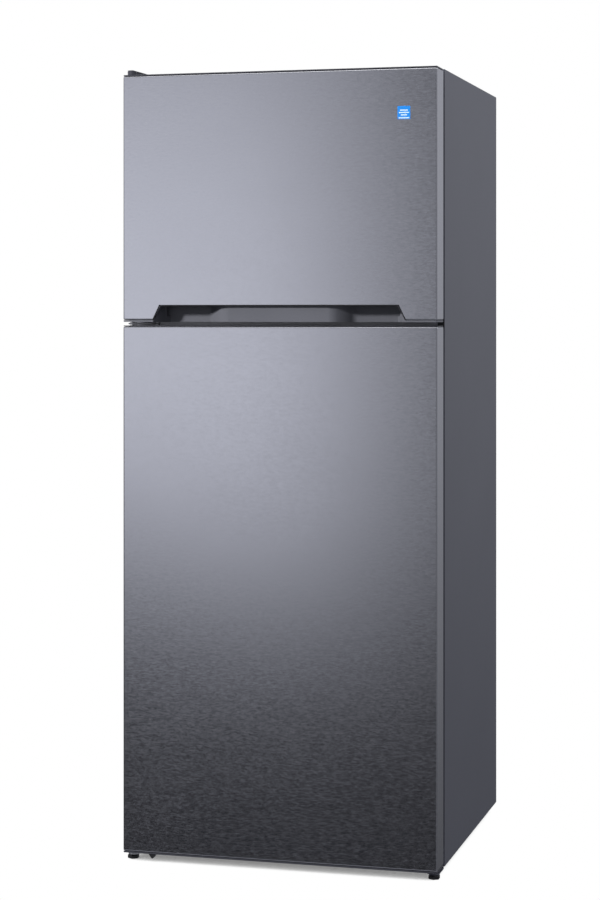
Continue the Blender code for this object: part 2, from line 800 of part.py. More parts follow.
def fan_blade(pivot):
    """Hub with five pitched blades."""
    hub = cylinder("fan_blade", FAN_CENTRE, 0.014, 0.016, "Y", BLACK_PLASTIC, pivot, sides=30)
    blades = []
    for index in range(5):
        angle = math.radians(72 * index)
        centre = Vector(FAN_CENTRE) + 0.028 * Vector((math.cos(angle), 0.0, math.sin(angle)))
        size = 0.0170
        blade = box(
            f"blade_{index}",
            (centre.x - size, centre.x + size),
            (centre.y - 0.001, centre.y + 0.001),
            (centre.z - 0.012, centre.z + 0.012),
            pivot=pivot,
        )
        blade.rotation_mode = "YXZ"
        blade.rotation_euler = (math.radians(28), -angle, 0.0)
        blades.append(blade)
    join(hub, *blades)
    bore = cylinder("fan_bore", FAN_CENTRE, 0.0029, 0.030, "Y", pivot=pivot, sides=16)
    return cut(hub, bore)


def freezer_shelf():
    """Moulded shelf with a raised rear edge and long slots."""
    shelf = box("freezer_shelf", mirrored(0.2755), (-0.150, 0.130), (1.3705, 1.3745), LINER_PLASTIC)
    front = box("shelf_front", mirrored(0.2755), (-0.156, -0.148), (1.3705, 1.3800), radius=0.002)
    slot = box("shelf_slots", (-0.250, -0.222), (-0.120, 0.100), (1.360, 1.390))
    join(shelf, front)
    return cut(shelf, repeat(slot, 12, (0.043, 0.0, 0.0)))


# ---------------------------------------------------------------- fresh food compartment


def air_duct():
    """Channel on the rear wall that lets cold air down beside the shelves."""
    duct = box(
        "air_duct",
        mirrored(0.085),
        (0.257, FRIDGE_SPACE["rear"] - GAP),
        (0.300, 1.032),
        LINER_PLASTIC,
        radius=0.006,
        picked=off_rear,
    )
    hollow = box("duct_hollow", mirrored(0.081), (0.260, 0.300), (0.304, 1.040))
    vents = box("duct_vents", (-0.045, 0.045), (0.250, 0.262), (0.400, 0.408))
    return cut(duct, hollow, repeat(vents, 7, (0.0, 0.0, 0.085)))


def control_housing():
    """Box under the ceiling with the lamp, the thermostat and the door switch."""
    x = mirrored(0.150)
    y = (-0.212, 0.150)
    housing = box("control_housing", x, y, HOUSING_Z, LINER_PLASTIC, radius=0.006, picked=below_top)
    inside_z = (HOUSING_Z[0] + PLASTIC, HOUSING_Z[1] + 0.010)
    inside = box("housing_inside", grow(x, -PLASTIC), grow(y, -PLASTIC), inside_z)
    switch_hole = cylinder("switch_hole", SWITCH_CENTRE, 0.0043, 0.030, "Y")
    knob_hole = post("knob_hole", KNOB_CENTRE[:2], 0.0034, (1.030, 1.060))
    lamp_hole = box("lamp_hole", mirrored(0.045), (-0.120, 0.060), (1.040, 1.050))
    return cut(housing, inside, switch_hole, knob_hole, lamp_hole)


def below_top(edge):
    """Picks the edges of a block that don't lie in its top face."""
    return min(vertex.co.z for vertex in edge.verts) < 0


def lamp_lens():
    size = (mirrored(0.0447), (-0.1197, 0.0597), (1.0415, 1.0490))
    lens = box("lamp_lens", *size, LENS_PLASTIC, radius=0.002, picked=below_top)
    rim = box("lens_rim", mirrored(0.049), (-0.124, 0.064), (1.0473, 1.0488))
    inside = box("lens_inside", mirrored(0.0430), (-0.118, 0.058), (1.0432, 1.060))
    join(lens, rim)
    return cut(lens, inside)


def thermostat_knob(pivot):
    """Dial that hangs under the housing on a short shaft."""
    x, y, z = KNOB_CENTRE
    dial = cylinder("thermostat_knob", (x, y, z + 0.002), 0.018, 0.008, "Z", TRIM_PLASTIC, pivot, sides=36)
    grip_size = ((x - 0.003, x + 0.003), (y - 0.016, y + 0.016), (z - 0.008, z))
    grip = box("knob_grip", *grip_size, pivot=pivot, radius=0.0012)
    shaft = post("knob_shaft", (x, y), 0.003, (z, 1.0520), pivot=pivot)
    return join(dial, grip, shaft)


def light_switch(pivot):
    """Plunger that the closed door holds in, with a collar that stops it inside the housing."""
    x, _, z = SWITCH_CENTRE
    plunger = cylinder(
        "light_switch", (x, -0.2126, z), PIN_RADIUS, 0.0242, "Y", LINER_PLASTIC, pivot, sides=20
    )
    collar = cylinder("switch_collar", (x, -0.1995, z), 0.006, 0.003, "Y", pivot=pivot, sides=20)
    return join(plunger, collar)


def glass_shelf(name):
    """A glass pane and the trim that its front edge sits in."""
    low = SHELF_LEVELS[name]
    glass_z = (low, low + GLASS_THICK)
    box(f"{name}_glass", mirrored(GLASS_HALF), GLASS_Y, glass_z, SHELF_GLASS)
    trim = box(
        f"{name}_trim",
        mirrored(GLASS_HALF + 0.0005),
        (GLASS_Y[0] - 0.012, GLASS_Y[0] + 0.010),
        (low - 0.008, low + 0.008),
        TRIM_PLASTIC,
        radius=0.003,
        picked=off_rear_and_ends,
    )
    slot = box(f"{name}_slot", (-0.3, 0.3), (GLASS_Y[0] - GAP, GLASS_Y[0] + 0.030), grow(glass_z, GAP))
    rib_notches = [
        box(f"{name}_notch_{side}", x, (-0.2003, -0.150), (low - 0.010, low))
        for side, x in both_sides((FRIDGE_SPACE["half"] - 0.0083, 0.300)).items()
    ]
    return cut(trim, slot, *rib_notches)


def off_rear_and_ends(edge):
    """Picks the two long front edges of a block."""
    ends = edge.verts
    return max(v.co.y for v in ends) < 0 and abs(ends[0].co.x - ends[1].co.x) > 1e-6


def crisper_drawer(pivot):
    x = mirrored(0.262)
    y = (-0.180, 0.085)
    z = (0.0860, 0.2580)
    drawer = box("crisper_drawer", x, y, z, BIN_PLASTIC, pivot, radius=0.010, picked=below_top)
    inside = box(
        "drawer_inside",
        grow(x, -0.0025),
        (y[0] + 0.004, y[1] - 0.0025),
        (z[0] + 0.0025, z[1] + 0.030),
        pivot=pivot,
        radius=0.008,
        picked=below_top,
    )
    dip = arc((0.0, 0.300), 0.0700, 242, 298, 4)
    grip_outline = [(-0.070, 0.270), (-0.060, 0.238)] + dip + [(0.060, 0.238), (0.070, 0.270)]
    grip = prism("drawer_grip", [grip_outline], -0.190, -0.174, "XZ", pivot=pivot)
    return cut(drawer, inside, grip)


# ---------------------------------------------------------------- doors


def door_skin(name, z, pivot):
    """Folded sheet: a face with four returns, open at the rear."""
    skin = box(
        f"{name}_skin",
        mirrored(HALF),
        (FRONT, DOOR_BACK - 0.0005),
        z,
        STEEL_SKIN,
        pivot,
        radius=SKIN_ROUND,
        picked=off_rear,
    )
    inside = box(
        f"{name}_skin_inside",
        mirrored(HALF - SHEET),
        (FRONT + SHEET, DOOR_BACK + 0.010),
        grow(z, -SHEET),
        pivot=pivot,
        radius=SKIN_ROUND - SHEET,
        picked=off_rear,
    )
    return cut(skin, inside)


def door_foam(name, z, pivot):
    return box(
        f"{name}_foam",
        mirrored(HALF - SHEET - GAP),
        (FRONT + SHEET + GAP, DOOR_BACK - PLASTIC - GAP),
        grow(z, -SHEET - GAP),
        FOAM,
        pivot,
        radius=SKIN_ROUND,
        picked=off_rear,
    )


def end_plate(name, z, pivot, finish=CAP_PLASTIC):
    """Moulded plate that closes one end of a door."""
    outline = [(HALF - 0.0005, DOOR_BACK - 0.0005), (-HALF + 0.0005, DOOR_BACK - 0.0005)]
    outline += arc((-HALF + SKIN_ROUND, FRONT + SKIN_ROUND), SKIN_ROUND - 0.0003, 180, 270, 4)
    outline += arc((HALF - SKIN_ROUND, FRONT + SKIN_ROUND), SKIN_ROUND - 0.0003, 270, 360, 4)
    return prism(name, [outline], *z, "XY", finish, pivot)


def door_liner(name, z, dyke, depth, pivot):
    """Inner sheet of a door with a hollow ring that stands into the compartment."""
    plate_y = (DOOR_BACK - PLASTIC, DOOR_BACK)
    plate = box(
        f"{name}_liner",
        mirrored(HALF - 0.0015),
        plate_y,
        grow(z, -0.0015),
        LINER_PLASTIC,
        pivot,
        radius=SKIN_ROUND,
        picked=runs_along(1),
    )
    rim = [dyke_outline(dyke, 0.0), dyke_outline(dyke, dyke["width"])]
    ring = prism(f"{name}_dyke", rim, DOOR_BACK - 0.001, depth, "XZ", pivot=pivot)
    wall = PLASTIC
    groove = [dyke_outline(dyke, wall), dyke_outline(dyke, dyke["width"] - wall)]
    hollow = prism(f"{name}_dyke_hollow", groove, DOOR_BACK - 0.010, depth - wall, "XZ", pivot=pivot)
    join(plate, ring)
    return cut(plate, hollow)


def dyke_outline(dyke, inset):
    radius = max(0.004, 0.018 - inset)
    return rounded_rectangle(mirrored(dyke["half"] - inset), grow(dyke["z"], -inset), radius)


def door_gasket(name, z, pivot):
    outer = rounded_rectangle(mirrored(0.3215), z, 0.004)
    inner = rounded_rectangle(mirrored(0.3055), grow(z, -0.016), 0.003)
    return prism(
        f"{name}_gasket", [outer, inner], DOOR_BACK + GAP, CABINET_FRONT - GAP, "XZ", BLACK_RUBBER, pivot
    )


def door_bin(name, half, z, back, pivot, finish):
    """Open tray that clips between the sides of the door's ring."""
    x = mirrored(half)
    y = (DOOR_BACK + 0.0025, back)
    tray = box(name, x, y, z, finish, pivot, radius=0.012, picked=below_top)
    inside = box(
        f"{name}_inside",
        grow(x, -0.0025),
        grow(y, -0.0025),
        (z[0] + 0.0025, z[1] + 0.020),
        pivot=pivot,
        radius=0.0095,
        picked=below_top,
    )
    return cut(tray, inside)


def pocket_outline(inset, low):
    """Trapezium of the handle pocket, seen from the front."""
    top = FREEZER_SKIN[0] + POCKET_HEIGHT - inset
    half_low = POCKET_HALF_LOW - inset
    half_top = POCKET_HALF_TOP - inset
    return [(-half_low, low), (half_low, low), (half_low, FREEZER_SKIN[0]), (half_top, top),
            (-half_top, top), (-half_low, FREEZER_SKIN[0])]


def pocket_plan():
    """Plan of the pocket's hollow: a shallow boss in the middle and a deep well on each side."""
    outer = POCKET_HALF_LOW - 0.0023
    slope = [(BOSS_HALF + 0.020, BOSS_FACE + 0.004), (DEEP_HALF - 0.012, POCKET_REAR - 0.008)]
    deep_end = UNDERCUT_X[1]
    right = [(BOSS_HALF, BOSS_FACE)] + slope
    right += [(DEEP_HALF, POCKET_REAR), (deep_end - 0.006, POCKET_REAR)]
    right += [(deep_end + 0.004, POCKET_REAR - 0.010), (outer, FRONT + 0.006), (outer, FRONT - 0.010)]
    left = [(-across, along) for across, along in reversed(right)]
    return left + right


def handle_cap(pivot):
    """Lower end cap of the freezer door, moulded in one with the handle pocket."""
    cap = end_plate("freezer_door_handle_cap", FREEZER_BOTTOM_CAP, pivot, POCKET_PLASTIC)
    low = FREEZER_BOTTOM_CAP[1] - 0.001
    rear = POCKET_REAR + PLASTIC
    block = prism("pocket_block", [pocket_outline(GAP, low)], FRONT + 0.0005, rear, "XZ", pivot=pivot)
    boss = post("handle_pin_boss", (HINGE_X, HINGE_Y), 0.009, (low, 1.149), pivot=pivot)
    tunnels = []
    wells = []
    for side, x in both_sides(UNDERCUT_X).items():
        wall = (grow(x, 0.002), (FRONT + SHEET + GAP, rear), (1.150, UNDERCUT_TOP + 0.002))
        well = (x, (FRONT + 0.0037, POCKET_REAR), (1.140, UNDERCUT_TOP))
        tunnels.append(box(f"undercut_wall_{side}", *wall, pivot=pivot))
        wells.append(box(f"undercut_{side}", *well, pivot=pivot))
    hollow = prism("pocket_hollow", [pocket_plan()], 1.120, 1.200, "XY", pivot=pivot)
    limits_outline = pocket_outline(GAP + PLASTIC, 1.120)
    limits = prism("pocket_limits", [limits_outline], FRONT - 0.020, -0.200, "XZ", pivot=pivot)
    combine(hollow, [limits], "INTERSECT")
    back_size = (mirrored(BOSS_HALF - 0.006), (BOSS_FACE + PLASTIC, -0.290), (1.134, 1.161))
    back = box("boss_hollow", *back_size, pivot=pivot)
    pin_hole = post("handle_pin_hole", (HINGE_X, HINGE_Y), PIN_HOLE, (1.120, 1.147), pivot=pivot)
    join(cap, block, boss, *tunnels)
    return cut(cap, hollow, *wells, back, pin_hole)


def freezer_door(pivot):
    at = (HINGE_X, HINGE_Y)
    skin = door_skin("freezer_door", FREEZER_SKIN, pivot)
    opening_outline = pocket_outline(0.0, 1.120)
    opening = prism("pocket_opening", [opening_outline], FRONT - 0.010, FRONT + 0.005, "XZ", pivot=pivot)
    rear = POCKET_REAR + PLASTIC + GAP
    floor_size = (mirrored(POCKET_HALF_LOW), (FRONT - 0.010, rear), (1.120, FREEZER_SKIN[0] + 0.0013))
    floor = box("pocket_floor", *floor_size, pivot=pivot)
    pin_low = post("skin_pin_hole_low", at, 0.0095, (1.120, 1.140), pivot=pivot)
    pin_top = post("skin_pin_hole_top", at, 0.0095, (1.636, 1.650), pivot=pivot)
    cut(skin, opening, floor, pin_low, pin_top)

    cap = end_plate("freezer_door_top_cap", FREEZER_TOP_CAP, pivot)
    join(cap, post("top_cap_boss", at, 0.009, (1.625, 1.642), pivot=pivot))
    cut(cap, post("top_cap_hole", at, PIN_HOLE, (1.627, 1.660), pivot=pivot))
    handle_cap(pivot)

    foam = door_foam("freezer_door", FREEZER_SKIN, pivot)
    pocket = prism("foam_pocket", [pocket_outline(-GAP, 1.120)], FRONT, rear, "XZ", pivot=pivot)
    well_z = (1.12, UNDERCUT_TOP + 0.0025)
    wells = [
        box(f"foam_undercut_{side}", grow(x, 0.0025), (FRONT, rear), well_z, pivot=pivot)
        for side, x in both_sides(UNDERCUT_X).items()
    ]
    bosses = [
        post("foam_boss_low", at, 0.0095, (1.120, 1.1495), pivot=pivot),
        post("foam_boss_top", at, 0.0095, (1.6245, 1.660), pivot=pivot),
    ]
    cut(foam, pocket, *wells, *bosses)

    dyke = {"half": 0.258, "z": (1.177, 1.571), "width": 0.022}
    door_liner("freezer_door", FREEZER_SKIN, dyke, -0.228, pivot)
    door_gasket("freezer_door", (1.138, 1.6325), pivot)
    for level, z in (("lower", (1.203, 1.283)), ("upper", (1.400, 1.480))):
        door_bin(f"freezer_door_rack_{level}", 0.2345, z, -0.208, pivot, LINER_PLASTIC)


def fridge_door(pivot):
    at = (HINGE_X, HINGE_Y)
    grip_x = mirrored(0.190)
    grip_y = (-0.333, -0.303)
    grip_low = 1.097
    skin = door_skin("fridge_door", FRIDGE_SKIN, pivot)
    clearance = (grow(grip_x, 0.0025), grow(grip_y, 0.0025))
    grip_hole = box("skin_grip_hole", *clearance, (1.110, 1.130), pivot=pivot)
    pin_top = post("skin_pin_top", at, 0.0095, (1.110, 1.130), pivot=pivot)
    pin_low = post("skin_pin_low", at, 0.0105, (0.010, 0.030), pivot=pivot)
    cut(skin, grip_hole, pin_top, pin_low)

    cap = end_plate("fridge_door_top_cap", FRIDGE_TOP_CAP, pivot)
    tub_size = (grow(grip_x, PLASTIC), grow(grip_y, PLASTIC), (grip_low - PLASTIC, 1.1195))
    tub = box("grip_tub", *tub_size, pivot=pivot)
    rounded = {"radius": 0.004, "picked": runs_along(2)}
    hollow = box("grip_hollow", grip_x, grip_y, (grip_low, 1.130), pivot=pivot, **rounded)
    boss = post("fridge_top_boss", at, 0.009, (1.099, 1.1195), pivot=pivot)
    join(cap, tub, boss)
    cut(cap, hollow, post("fridge_top_hole", at, PIN_HOLE, (1.1035, 1.130), pivot=pivot))

    bottom = end_plate("fridge_door_bottom_cap", FRIDGE_BOTTOM_CAP, pivot)
    join(bottom, post("fridge_low_boss", at, 0.010, (0.0190, 0.044), pivot=pivot))
    cut(bottom, post("fridge_low_hole", at, 0.0069, (0.010, 0.040), pivot=pivot))

    foam = door_foam("fridge_door", FRIDGE_SKIN, pivot)
    hollows = [
        box("foam_grip", *clearance, (grip_low - 0.0025, 1.130), pivot=pivot),
        post("foam_top_boss", at, 0.0095, (1.0985, 1.130), pivot=pivot),
        post("foam_low_boss", at, 0.0105, (0.010, 0.0445), pivot=pivot),
    ]
    cut(foam, *hollows)

    dyke = {"half": 0.265, "z": (0.098, 1.075), "width": 0.025}
    door_liner("fridge_door", FRIDGE_SKIN, dyke, -0.225, pivot)
    door_gasket("fridge_door", (0.062, 1.1105), pivot)
    bin_levels = {"lower": (0.126, 0.236), "middle": (0.470, 0.560), "upper": (0.790, 0.870)}
    for level, z in bin_levels.items():
        door_bin(f"door_bin_{level}", 0.2385, z, -0.204, pivot, BIN_PLASTIC)
    tab_top = FRIDGE_BOTTOM_CAP[0] - GAP
    tab = [(-0.280, tab_top), (-0.2735, 0.0080), (-0.2705, 0.0080), (-0.264, tab_top)]
    prism("door_stop", [tab], -0.337, -0.323, "XZ", BLACK_PLASTIC, pivot)


# ---------------------------------------------------------------- assembly


def build_cabinet():
    for piece in (
        outer_wrapper,
        back_panel,
        machine_panel,
        insulation,
        freezer_liner,
        fridge_liner,
        centre_rail,
        hinge_hole_cover,
        base_rail,
        bottom_hinge,
        mid_hinge,
        top_hinge,
        top_hinge_cover,
    ):
        piece()


def build_inside():
    for piece in (
        rear_cover,
        cord_inlet,
        compressor,
        compressor_rail,
        discharge_tube,
        drip_tray,
        evaporator,
        evaporator_cover,
        fan_motor,
        freezer_shelf,
        air_duct,
        control_housing,
        lamp_lens,
    ):
        piece()
    for name in SHELF_LEVELS:
        glass_shelf(name)
    for side in (-1, 1):
        roller_bracket(side)


def build_moving():
    for side, word in ((-1, "left"), (1, "right")):
        foot_at = (side * abs(HINGE_X), HINGE_Y, 0.0)
        roller_at = (side * ROLLER_AT[0], ROLLER_AT[1], ROLLER_RADIUS)
        foot(side, pivot_at(f"foot_{word}_pivot", foot_at))
        roller(side, pivot_at(f"rear_roller_{word}_pivot", roller_at))
    fan_blade(pivot_at("fan_pivot", FAN_CENTRE))
    thermostat_knob(pivot_at("thermostat_pivot", KNOB_CENTRE))
    light_switch(pivot_at("light_switch_pivot", SWITCH_CENTRE))
    crisper_drawer(pivot_at("crisper_pivot", (0.0, -0.180, 0.0860)))
    freezer_door(pivot_at("freezer_door_pivot", (HINGE_X, HINGE_Y, FREEZER_SKIN[0])))
    fridge_door(pivot_at("fridge_door_pivot", (HINGE_X, HINGE_Y, FRIDGE_SKIN[0])))


def shade_round_pieces():
    for obj in PARTS.objects:
        if obj.type == "MESH":
            obj.data.shade_smooth()
            obj.data.set_sharp_from_angle(angle=math.radians(35))


build_cabinet()
build_inside()
build_moving()
shade_round_pieces()
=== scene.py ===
"""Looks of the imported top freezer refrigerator: materials, edges, small hardware, studio and camera."""

import json
import math

import bmesh
import bpy
from mathutils import Matrix, Vector


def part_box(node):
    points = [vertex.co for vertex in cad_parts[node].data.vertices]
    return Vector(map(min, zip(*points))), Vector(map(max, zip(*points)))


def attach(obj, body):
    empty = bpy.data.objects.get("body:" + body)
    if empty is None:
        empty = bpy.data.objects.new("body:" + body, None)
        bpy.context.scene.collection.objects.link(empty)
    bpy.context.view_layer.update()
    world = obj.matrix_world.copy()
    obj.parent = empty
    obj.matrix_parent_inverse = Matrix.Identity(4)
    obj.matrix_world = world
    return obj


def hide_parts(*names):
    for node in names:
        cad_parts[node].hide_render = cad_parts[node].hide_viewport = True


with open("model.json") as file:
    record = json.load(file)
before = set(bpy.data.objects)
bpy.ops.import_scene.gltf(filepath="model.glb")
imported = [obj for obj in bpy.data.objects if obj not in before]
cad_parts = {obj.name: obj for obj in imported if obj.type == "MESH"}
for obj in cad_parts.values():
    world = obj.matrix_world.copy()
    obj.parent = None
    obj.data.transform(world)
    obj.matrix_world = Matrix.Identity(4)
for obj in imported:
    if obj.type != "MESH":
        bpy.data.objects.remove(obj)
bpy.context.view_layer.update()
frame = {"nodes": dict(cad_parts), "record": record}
NODES = frame["nodes"]

DOOR_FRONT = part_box("freezer_door_skin")[0].y
CABINET_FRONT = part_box("outer_wrapper")[0].y


# ---------------------------------------------------------------- material nodes


class Graph:
    """Short words for building a material's nodes."""

    def __init__(self, name):
        self.material = bpy.data.materials.new(name)
        self.material.use_nodes = True
        self.tree = self.material.node_tree
        self.shader = self.tree.nodes["Principled BSDF"]
        self.coordinates = self.tree.nodes.new("ShaderNodeTexCoord").outputs["Object"]

    def set(self, **values):
        """Sets the shader's sockets by name, with underscores for spaces."""
        for name, value in values.items():
            self.shader.inputs[name.replace("_", " ")].default_value = value

    def link(self, source, target):
        self.tree.links.new(source, target)

    def stretched(self, scale):
        """The object's coordinates, scaled along each axis."""
        mapping = self.tree.nodes.new("ShaderNodeMapping")
        mapping.inputs["Scale"].default_value = scale
        self.link(self.coordinates, mapping.inputs["Vector"])
        return mapping.outputs["Vector"]

    def noise(self, scale, detail=2.0, roughness=0.5, stretch=(1.0, 1.0, 1.0)):
        node = self.tree.nodes.new("ShaderNodeTexNoise")
        node.inputs["Scale"].default_value = scale
        node.inputs["Detail"].default_value = detail
        node.inputs["Roughness"].default_value = roughness
        self.link(self.stretched(stretch), node.inputs["Vector"])
        return node.outputs["Fac"]

    def spread(self, source, low, high, start=0.3, end=0.7):
        """Maps a value from one range to another."""
        node = self.tree.nodes.new("ShaderNodeMapRange")
        node.inputs["From Min"].default_value = start
        node.inputs["From Max"].default_value = end
        node.inputs["To Min"].default_value = low
        node.inputs["To Max"].default_value = high
        self.link(source, node.inputs["Value"])
        return node.outputs["Result"]

    def blend(self, factor, first, second):
        """Mixes two colours, each an RGB tuple or a socket."""
        node = self.tree.nodes.new("ShaderNodeMix")
        node.data_type = "RGBA"
        self.link(factor, node.inputs["Factor"])
        for name, value in (("A", first), ("B", second)):
            socket = next(s for s in node.inputs if s.name == name and s.type == "RGBA")
            if isinstance(value, tuple):
                socket.default_value = (*value, 1.0)
            else:
                self.link(value, socket)
        return next(s for s in node.outputs if s.type == "RGBA")

    def sum(self, first, second, weight):
        """Adds the second value, times a weight, to the first."""
        node = self.tree.nodes.new("ShaderNodeMath")
        node.operation = "MULTIPLY_ADD"
        node.inputs[1].default_value = weight
        self.link(second, node.inputs[0])
        self.link(first, node.inputs[2])
        return node.outputs["Value"]

    def bump(self, height, strength, distance):
        node = self.tree.nodes.new("ShaderNodeBump")
        node.inputs["Strength"].default_value = strength
        node.inputs["Distance"].default_value = distance
        self.link(height, node.inputs["Height"])
        self.link(node.outputs["Normal"], self.shader.inputs["Normal"])


def brushed_steel():
    """Satin steel with fine level grain and a slight cloud in its gloss."""
    g = Graph("brushed_steel_finish")
    grain = g.noise(1.0, 3.0, 0.62, (110.0, 110.0, 360.0))
    fine = g.noise(1.0, 2.0, 0.55, (260.0, 260.0, 1500.0))
    cloud = g.noise(5.0, 2.0, 0.5, (1.0, 1.0, 1.6))
    both = g.sum(grain, fine, 0.7)
    tone = g.blend(g.spread(both, 0.0, 1.0, *GRAIN_RANGE), STEEL_DARK, STEEL_LIGHT)
    g.link(tone, g.shader.inputs["Base Color"])
    wear = g.spread(both, STEEL_ROUGH - 0.05, STEEL_ROUGH + 0.05, *GRAIN_RANGE)
    wear = g.sum(wear, g.spread(cloud, -1.0, 1.0), 0.004)
    g.link(wear, g.shader.inputs["Roughness"])
    g.set(Metallic=1.0, Anisotropic=0.20, Anisotropic_Rotation=0.25)
    g.bump(both, 0.055, 0.00006)
    return g.material


def painted_sheet(name, dark, light, roughness, coat=0.12):
    """Paint on sheet metal, with a faint orange peel and a clear coat."""
    g = Graph(name)
    peel = g.noise(900.0, 2.0, 0.5)
    cloud = g.noise(3.5, 3.0, 0.55)
    g.link(g.blend(g.spread(cloud, 0.0, 1.0), dark, light), g.shader.inputs["Base Color"])
    g.link(g.spread(peel, roughness - 0.03, roughness + 0.03), g.shader.inputs["Roughness"])
    g.set(Coat_Weight=coat, Coat_Roughness=0.22)
    g.bump(peel, 0.18, 0.00012)
    return g.material


def moulded(name, dark, light, roughness, peel_scale=1400.0, strength=0.2):
    """Moulded plastic: a fine spark-eroded texture and a slight change of tone."""
    g = Graph(name)
    peel = g.noise(peel_scale, 2.0, 0.6)
    cloud = g.noise(9.0, 2.0, 0.5)
    g.link(g.blend(g.spread(cloud, 0.0, 1.0), dark, light), g.shader.inputs["Base Color"])
    g.link(g.spread(peel, roughness - 0.04, roughness + 0.04), g.shader.inputs["Roughness"])
    g.bump(peel, strength, 0.00008)
    return g.material


def plated(name, dark, light, roughness, grain):
    """Zinc plate or galvanised sheet: soft spangle and fine scratches."""
    g = Graph(name)
    spangle = g.tree.nodes.new("ShaderNodeTexVoronoi")
    spangle.inputs["Scale"].default_value = grain
    g.link(g.stretched((1.0, 1.0, 1.0)), spangle.inputs["Vector"])
    scratch = g.noise(1.0, 2.0, 0.6, (300.0, 300.0, 1500.0))
    shade = g.sum(scratch, spangle.outputs["Distance"], 0.35)
    tone = g.blend(g.spread(shade, 0.0, 1.0, *SPANGLE_RANGE), dark, light)
    g.link(tone, g.shader.inputs["Base Color"])
    g.link(g.spread(shade, roughness - 0.08, roughness + 0.08, *SPANGLE_RANGE), g.shader.inputs["Roughness"])
    g.set(Metallic=1.0)
    g.bump(scratch, 0.15, 0.00005)
    return g.material


def rubber(name):
    """Black rubber with a little dust."""
    g = Graph(name)
    dust = g.noise(120.0, 3.0, 0.6)
    grain = g.noise(2500.0, 1.0, 0.5)
    tone = g.blend(g.spread(dust, 0.0, 1.0), (0.010, 0.010, 0.012), (0.020, 0.020, 0.022))
    g.link(tone, g.shader.inputs["Base Color"])
    g.link(g.spread(dust, 0.50, 0.66), g.shader.inputs["Roughness"])
    g.bump(grain, 0.15, 0.00005)
    return g.material


def foam():
    """Yellow insulating foam with open cells."""
    g = Graph("foam_finish")
    cells = g.noise(350.0, 4.0, 0.7)
    tone = g.blend(g.spread(cells, 0.0, 1.0), (0.62, 0.50, 0.26), (0.80, 0.70, 0.44))
    g.link(tone, g.shader.inputs["Base Color"])
    g.set(Roughness=0.92)
    g.bump(cells, 0.5, 0.0006)
    return g.material


def clear_plastic(name, tint, transmission, roughness):
    """Clear plastic or glass with a faint haze."""
    g = Graph(name)
    haze = g.noise(60.0, 2.0, 0.5)
    g.link(g.spread(haze, roughness - 0.02, roughness + 0.04), g.shader.inputs["Roughness"])
    g.set(Base_Color=(*tint, 1.0), Transmission_Weight=transmission, IOR=1.49)
    g.bump(haze, 0.08, 0.0002)
    return g.material


# Ranges over which a mixed noise goes from its darkest to its lightest.
GRAIN_RANGE = (0.55, 1.15)
SPANGLE_RANGE = (0.4, 0.9)

STEEL_DARK = (0.47, 0.473, 0.500)
STEEL_LIGHT = (0.59, 0.593, 0.622)
STEEL_ROUGH = 0.17

# Slot, maker, material name, dark tone, light tone, roughness, and what else the maker takes.
OPAQUE = (
    ("grey_paint", painted_sheet, "grey_paint_finish", (0.078, 0.081, 0.100), (0.086, 0.089, 0.109), 0.42),
    ("dark_cap_plastic", moulded, "dark_cap_finish", (0.036, 0.037, 0.046), (0.044, 0.045, 0.054), 0.26),
    ("pocket_plastic", moulded, "pocket_finish", (0.108, 0.111, 0.127), (0.120, 0.123, 0.141), 0.42),
    ("rail_enamel", painted_sheet, "rail_finish", (0.240, 0.245, 0.275), (0.260, 0.265, 0.295), 0.14, 1.0),
    ("black_plastic", moulded, "black_plastic_finish", (0.009, 0.009, 0.010), (0.015, 0.015, 0.016), 0.46),
    ("white_liner", moulded, "white_liner_finish", (0.74, 0.75, 0.76), (0.80, 0.81, 0.82), 0.30, 500.0, 0.1),
    ("shelf_trim", moulded, "shelf_trim_finish", (0.55, 0.56, 0.58), (0.62, 0.63, 0.65), 0.30),
    ("zinc_plated_steel", plated, "zinc_finish", (0.55, 0.55, 0.57), (0.78, 0.78, 0.79), 0.38, 120.0),
    ("galvanised_sheet", plated, "galvanised_finish", (0.30, 0.31, 0.32), (0.48, 0.49, 0.50), 0.48, 45.0),
    ("aluminium_fins", plated, "aluminium_finish", (0.62, 0.63, 0.64), (0.78, 0.79, 0.80), 0.36, 150.0),
    ("copper_tube", plated, "copper_finish", (0.50, 0.22, 0.12), (0.70, 0.36, 0.22), 0.30, 90.0),
    ("compressor_paint", painted_sheet, "compressor_finish",
     (0.010, 0.010, 0.011), (0.018, 0.018, 0.019), 0.36),
)
# Slot, material name, tint, transmission, roughness.
CLEAR = (
    ("clear_bin", "clear_bin_finish", (0.88, 0.92, 0.94), 0.80, 0.08),
    ("shelf_glass", "shelf_glass_finish", (0.80, 0.90, 0.87), 0.92, 0.03),
    ("lamp_lens", "lamp_lens_finish", (0.92, 0.92, 0.90), 0.45, 0.30),
)
FINISHES = {"brushed_steel": brushed_steel(), "black_gasket": rubber("gasket_finish"), "foam": foam()}
FINISHES.update({slot: make(*values) for slot, make, *values in OPAQUE})
FINISHES.update({slot: clear_plastic(*values) for slot, *values in CLEAR})


# ---------------------------------------------------------------- finish of the CAD nodes

WELD_DISTANCE = 0.00002
FLAT_ANGLE = math.radians(0.5)
EDGE_ANGLE = math.radians(38)
EDGE_WIDTH = 0.0004
FACE_WEIGHT = 80

